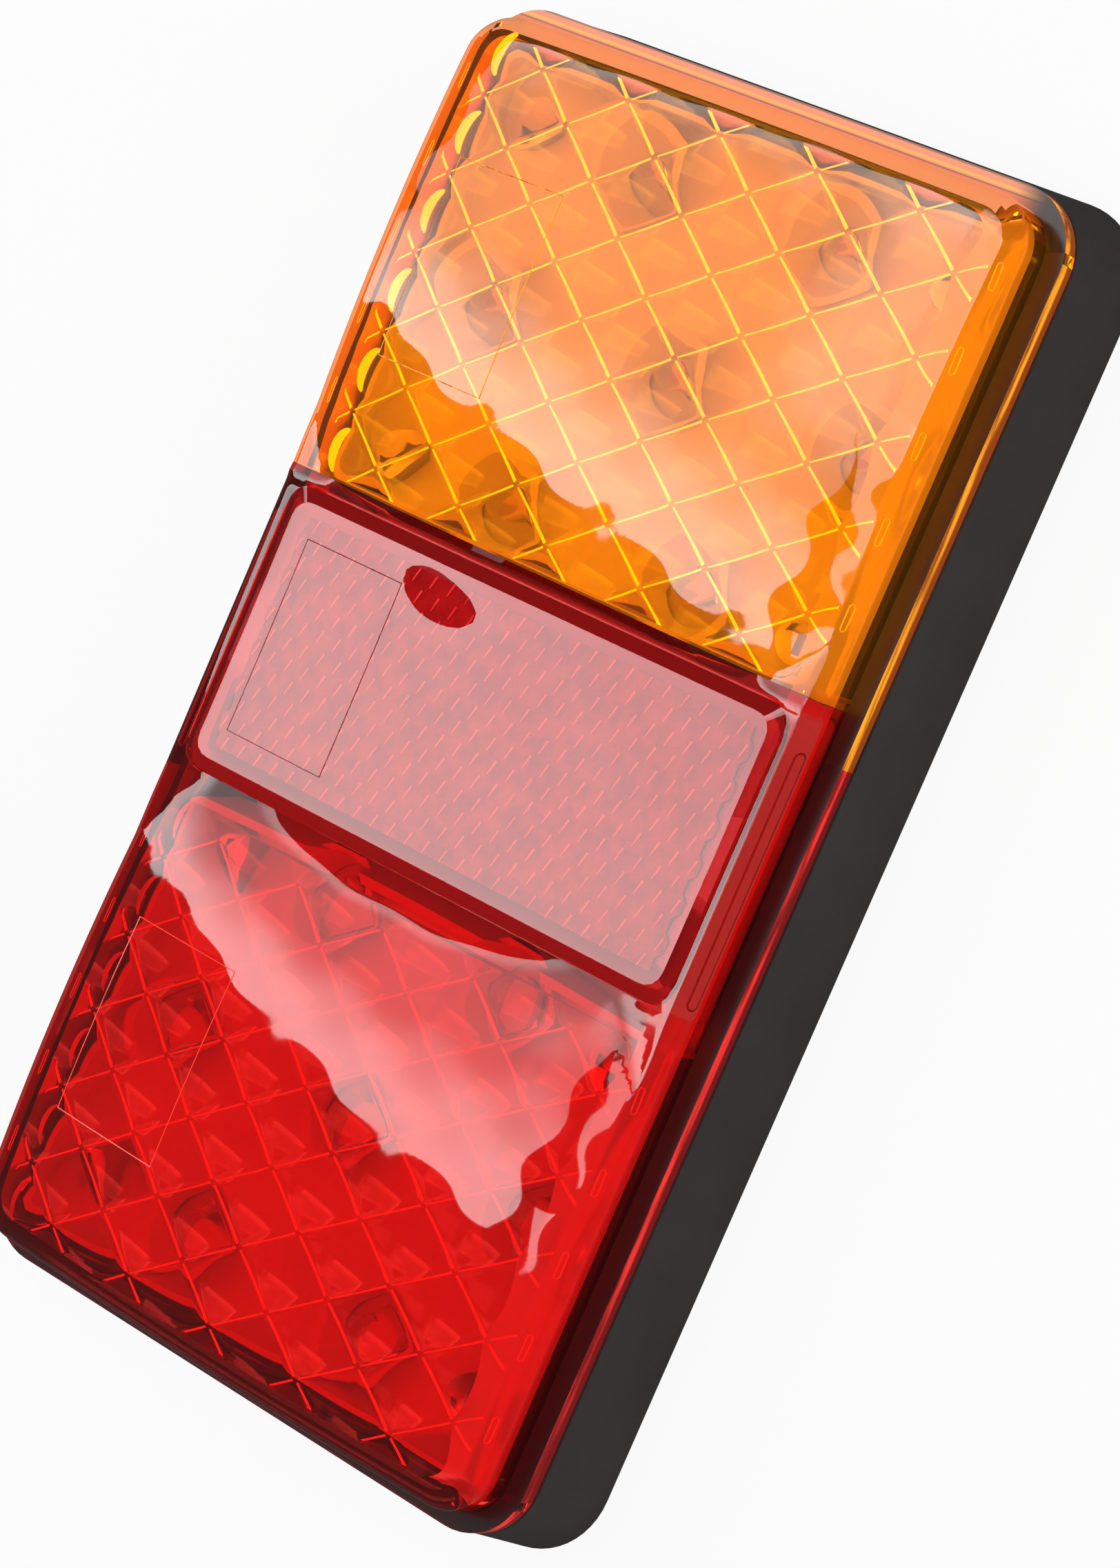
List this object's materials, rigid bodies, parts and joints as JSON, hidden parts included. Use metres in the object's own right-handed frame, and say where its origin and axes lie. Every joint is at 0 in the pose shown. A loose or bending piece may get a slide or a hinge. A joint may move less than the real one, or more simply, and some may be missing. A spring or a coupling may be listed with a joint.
{
  "type": "trailer tail light",
  "caption": "Surface-mount trailer tail light with an amber indicator, a red reflex reflector and a red stop light under one clip-on lens, on a black base.",
  "frame": {"origin": "middle of the rear mounting face", "axes": "+Z out through the lens, +Y towards the amber indicator end, +X to the right as seen from in front"},
  "size_m": [0.0796, 0.1498, 0.0226],
  "materials": {
    "base_plastic": "satin, fine texture",
    "amber_plastic": "gloss, clear amber",
    "red_plastic": "gloss, clear red",
    "reflex_red": "gloss, prismatic",
    "box_white": "satin",
    "tray_white": "gloss",
    "board_white": "satin solder mask",
    "chip_black": "matt",
    "resistor_ceramic": "satin",
    "can_aluminium": "satin",
    "tab_brass": "tinned",
    "led_amber": "gloss",
    "led_red": "gloss",
    "zinc_steel": "zinc plated",
    "spring_steel": "bright",
    "rubber": "matt",
    "foam": "closed-cell foam",
    "vent_plastic": "matt"
  },
  "bodies": {
    "base": {"base_housing": "base_plastic", "rear_pad": "foam", "mounting_sleeves": "zinc_steel", "cable_grommet": "rubber", "vent_plug": "vent_plastic", "lens_seal": "rubber", "lens_clips": "spring_steel", "circuit_board": "board_white", "driver_chips": "chip_black", "resistors": "resistor_ceramic", "protection_diodes": "chip_black", "capacitors": "can_aluminium", "terminal_tabs": "tab_brass", "amber_leds": "led_amber", "red_leds": "led_red", "amber_reflector_tray": "tray_white", "red_reflector_tray": "tray_white", "tray_screws": "zinc_steel"},
    "lens_unit": {"amber_lens": "amber_plastic", "red_lens": "red_plastic", "reflex_reflector": "reflex_red", "reflector_back_plate": "box_white"}
  },
  "joints": [
    {"name": "lens_lift", "type": "slide", "parent": "base", "child": "lens_unit", "axis": [0, 0, 1], "range_m": [0, 0.02], "deforming": ["lens_clips"]}
  ]
}
